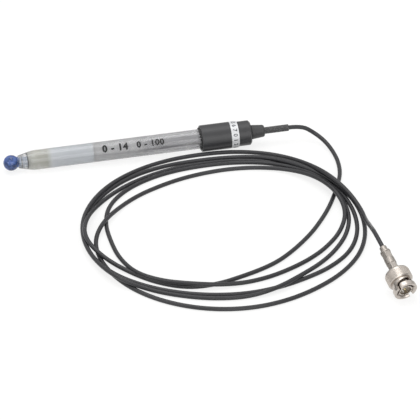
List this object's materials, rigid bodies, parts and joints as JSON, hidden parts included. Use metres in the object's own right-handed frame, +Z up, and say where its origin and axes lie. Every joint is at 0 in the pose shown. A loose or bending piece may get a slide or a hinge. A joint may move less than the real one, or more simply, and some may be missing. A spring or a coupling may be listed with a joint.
{
  "type": "ph electrode",
  "caption": "Glass pH electrode with a bulb tip, a black moulded head and a thin coiled coaxial cable ending in a bayonet plug.",
  "frame": {"origin": "centre of the bottom of the electrode's bounding box, without the cable and its plug", "axes": "+X along the glass shaft towards the cable, +Y away from the coil, +Z up"},
  "size_m": [0.2094, 0.1869, 0.0205],
  "materials": {
    "borosilicate": "clear polished",
    "membrane_glass": "clear, pale blue",
    "clear_liquid": "clear liquid",
    "milky_gel": "milky gel",
    "dark_element": "matte",
    "wire": "drawn",
    "ceramic": "matte porous",
    "seal_rubber": "matte",
    "head_plastic": "satin moulded",
    "label_paper": "satin",
    "resin": "cast",
    "copper_crimp": "pressed",
    "sleeve_plastic": "fine grained",
    "cable_jacket": "satin extruded",
    "nickel": "nickel plated, satin",
    "white_plastic": "turned",
    "gold": "gold plated",
    "gasket_rubber": "matte",
    "spring_steel": "stamped"
  },
  "bodies": {
    "electrode": {"outer_glass_shaft": "borosilicate", "inner_glass_stem": "borosilicate", "membrane_bulb": "membrane_glass", "bulb_fill": "clear_liquid", "measuring_element": "dark_element", "measuring_wire": "wire", "reference_gel": "milky_gel", "reference_electrolyte": "clear_liquid", "reference_element": "dark_element", "reference_wire": "wire", "ceramic_junction": "ceramic", "stem_seal": "seal_rubber", "head_cap": "head_plastic", "label_band": "label_paper", "rear_shell": "head_plastic", "potting": "resin", "core_splice": "copper_crimp", "shield_splice": "copper_crimp", "gland_cone": "head_plastic", "cable_sleeve": "sleeve_plastic", "cable_end": "cable_jacket", "cable_lead": "cable_jacket", "cable_coil": "cable_jacket", "cable_tail": "cable_jacket", "plug_body": "nickel", "plug_insulator": "white_plastic", "centre_pin": "gold", "plug_gasket": "gasket_rubber", "wave_washer": "spring_steel", "retaining_ring": "spring_steel", "crimp_ferrule": "nickel", "plug_cable_end": "cable_jacket"},
    "thrust_washer": {"thrust_washer": "spring_steel"},
    "coupling_nut": {"coupling_nut": "nickel"}
  },
  "joints": [
    {"name": "nut_pull", "type": "slide", "parent": "electrode", "child": "thrust_washer", "axis": [0.1815, -0.9336, -0.309], "range_m": [0, 0.0005], "stiffness_N_per_m": 5000, "springref_m": -0.001, "deforming": ["wave_washer"]},
    {"name": "nut_turn", "type": "hinge", "parent": "thrust_washer", "child": "coupling_nut", "pos_m": [0.1152, -0.1765, 0.00643], "axis": [-0.1815, 0.9336, 0.309], "continuous": true}
  ]
}
